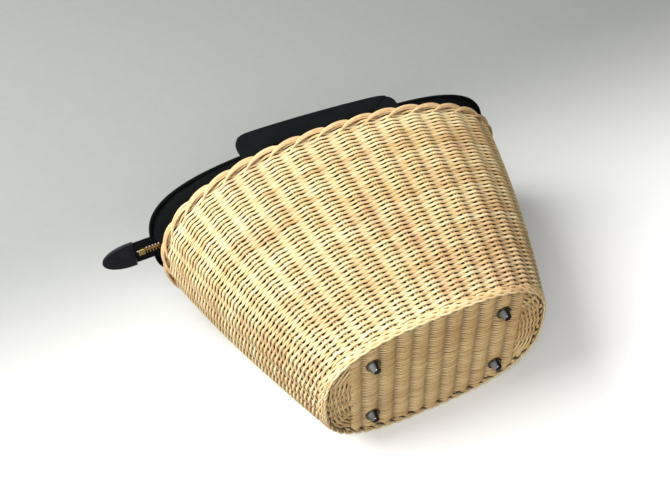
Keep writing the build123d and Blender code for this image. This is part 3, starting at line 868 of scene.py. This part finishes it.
def end_tab():
    """A leaf of leather folded over the zip's tail, with rounded edges, a creased border and stitches."""
    root, tip, half = -0.184, -0.214, 0.0150
    length = root - tip
    s = np.linspace(0, 1, 41)
    lobe = half * np.sqrt(np.clip(1 - s**2.3, 0, 1)) * (1 + 0.03 * np.sin(math.pi * s))
    right = np.column_stack([root - s * length, lobe])
    left = np.column_stack([root - s[::-1] * length, -lobe[::-1]])[1:]
    loop = np.vstack([right, left])
    centre = np.array((root - 0.45 * length, 0.0))

    def inset(amount):
        d = loop - centre
        r = np.linalg.norm(d, axis=1, keepdims=True)
        return centre + d * np.clip(1 - amount / r, 0.02, 1)

    levels = (  # distance in from the edge in metres, then height in millimetres
        (0.0, 0.0), (0.0003, 0.75), (0.0009, 1.35), (0.0016, 1.62), (0.0024, 1.46), (0.0030, 1.72),
        (0.006, 1.9), (0.010, 1.95), (0.02, 1.95),
    )
    for sign, name in ((1, "upper"), (-1, "lower")):
        rows = []
        for amount, height in levels:
            ring = inset(amount)
            rows.append(np.column_stack([ring, np.full(len(ring), ZIP_Z + sign * height * MM)]))
        mesh = grid_mesh(f"tab_{name}", np.array(rows), closed_u=True, flip=sign < 0)
        nodes = ("zip_end_tab",) if sign > 0 else ()
        piece = finish_piece(f"zip_end_tab_{name}", mesh, tab_skin, nodes)
        fix_normals(piece)
        bundle = Bundle()
        ring = inset(0.0024)
        run = np.concatenate([[0], np.cumsum(np.linalg.norm(np.diff(ring, axis=0), axis=1))])
        for at in np.arange(0.0015, run[-1] - 0.001, 0.0030):
            ends = [[np.interp(at + d, run, ring[:, i]) for i in (0, 1)] for d in (-0.0009, 0, 0.0009)]
            path = [(*p, ZIP_Z + sign * (1.50 + 0.16 * (i == 1)) * MM) for i, p in enumerate(ends)]
            bundle.tube(path, (0, 0, sign), 0.24 * MM, 5, 0.9)
        bundle.make(f"tab_stitches_{name}", tape_cloth)


side_weave()
side_stakes()
base_wale()
rim()
base_panel()
base_ends()
lining()
collar()
panels()
strap("front", -1)
strap("back", 1)
tapes()
teeth()
end_tab()

# ---------------------------------------------------------------- finishes of the CAD nodes that stay
kept = {
    "foot_left_front": dark_chrome, "foot_left_back": dark_chrome,
    "foot_right_front": dark_chrome, "foot_right_back": dark_chrome,
    "foot_washers": steel, "foot_nuts": steel, "base_board": board,
    "zip_bottom_stop": gold, "zip_top_stops": gold, "zip_slider": gold, "zip_pull": gold,
}
for name, material in kept.items():
    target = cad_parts[name]
    target = bpy.data.objects[target] if isinstance(target, str) else target
    if target.material_slots:
        for slot in target.material_slots:
            slot.material = material
    else:
        target.data.materials.append(material)


# ---------------------------------------------------------------- floor, backdrop and light
def one_sided(name, low_colour, high_colour, limits, direction):
    """A matte pale surface, with painted shade grading its colour along a direction, and seen from its front
    only.
    """
    material, tree, shader = new_material(name)
    place = node(tree, "ShaderNodeTexCoord").outputs["Object"]
    grain = noise(tree, place, 90.0, 4.0)
    line = node(tree, "ShaderNodeVectorMath", {0: place, 1: direction}, operation="DOT_PRODUCT")
    share = node(tree, "ShaderNodeMapRange", {
        "Value": line.outputs["Value"], "From Min": limits[0], "From Max": limits[1],
    }, interpolation_type="SMOOTHSTEP").outputs["Result"]
    colour = mix(tree, share, low_colour, high_colour)
    colour = mix(tree, 0.03, colour, ramp(tree, grain, (0.3, (0.6, 0.6, 0.6)), (0.7, (0.9, 0.9, 0.9))))
    tree.links.new(colour, shader.inputs["Base Color"])
    shader.inputs["Roughness"].default_value = 0.85
    shader.inputs["Specular IOR Level"].default_value = 0.1
    back = node(tree, "ShaderNodeNewGeometry").outputs["Backfacing"]
    clear = node(tree, "ShaderNodeBsdfTransparent")
    choose = node(tree, "ShaderNodeMixShader", {0: back, 1: shader.outputs[0], 2: clear.outputs[0]})
    tree.links.new(choose.outputs[0], tree.nodes["Material Output"].inputs["Surface"])
    return material


def stage_plane(name, corners, material):
    """A square that only the camera sees, so that it neither shades nor lights the bag."""
    mesh = bpy.data.meshes.new(name)
    mesh.from_pydata(corners, [], [(0, 1, 2, 3)])
    mesh.materials.append(material)
    piece = bpy.data.objects.new(name, mesh)
    bpy.context.scene.collection.objects.link(piece)
    for flag in ("visible_diffuse", "visible_glossy", "visible_transmission", "visible_shadow"):
        setattr(piece, flag, False)


SIZE = 5.0
FLOOR_Z = -0.007
TABLE_Y = 0.0700
TABLE_SLOPE = (0.0855 - 0.0675) / SIDE_H
# Painted shade: the table fades from near white at the bottom to grey at the top, for the fall of light across
# it.
table = one_sided("table_painted_shade", (0.97, 0.97, 0.95), (0.30, 0.31, 0.302), (-0.05, 0.40), (-0.08, 0.0, 1.0))
floor = one_sided("floor_pale", (0.80, 0.80, 0.79), (0.80, 0.80, 0.79), (0.0, 1.0), (1.0, 0.0, 0.0))
low_y, high_y = TABLE_Y - SIZE * TABLE_SLOPE, TABLE_Y + SIZE * TABLE_SLOPE
stage_plane("table", [
    (-SIZE, low_y, -SIZE), (SIZE, low_y, -SIZE), (SIZE, high_y, SIZE), (-SIZE, high_y, SIZE),
], table)
stage_plane("floor", [
    (-SIZE, -SIZE, FLOOR_Z), (SIZE, -SIZE, FLOOR_Z), (SIZE, SIZE, FLOOR_Z), (-SIZE, SIZE, FLOOR_Z),
], floor)


def area(name, place, target, size, power, colour=(1, 1, 1)):
    """A rectangular lamp that faces the target."""
    data = bpy.data.lights.new(name, "AREA")
    data.shape = "RECTANGLE"
    data.size, data.size_y = size
    data.energy = power
    data.color = colour
    lamp = bpy.data.objects.new(name, data)
    direction = Vector(target) - Vector(place)
    lamp.matrix_world = Matrix.Translation(place) @ direction.to_track_quat("-Z", "Y").to_matrix().to_4x4()
    bpy.context.scene.collection.objects.link(lamp)


centre = (0.0, 0.0, 0.10)
area("key", (-0.95, -1.15, 0.55), centre, (1.1, 1.1), 38.0, (1.0, 0.985, 0.96))
area("fill", (-0.35, -1.35, -0.95), centre, (0.9, 0.9), 17.0)
area("back_fill", (0.9, 1.5, 0.9), centre, (1.2, 1.2), 9.0)
world = bpy.data.worlds.new("studio")
world.use_nodes = True
background = world.node_tree.nodes["Background"]
sky_tree = world.node_tree
sky = node(sky_tree, "ShaderNodeTexCoord").outputs["Generated"]
across = node(sky_tree, "ShaderNodeSeparateXYZ", {"Vector": sky}).outputs["X"]
level = node(sky_tree, "ShaderNodeMapRange", {"Value": across, "From Min": -0.45, "From Max": 0.40})
sky_colour = mix(sky_tree, level.outputs["Result"], (1.0, 1.0, 1.0), (0.07, 0.07, 0.075))
sky_tree.links.new(sky_colour, background.inputs["Color"])
background.inputs["Strength"].default_value = 0.62
bpy.context.scene.world = world
bpy.context.scene.view_settings.view_transform = "Standard"
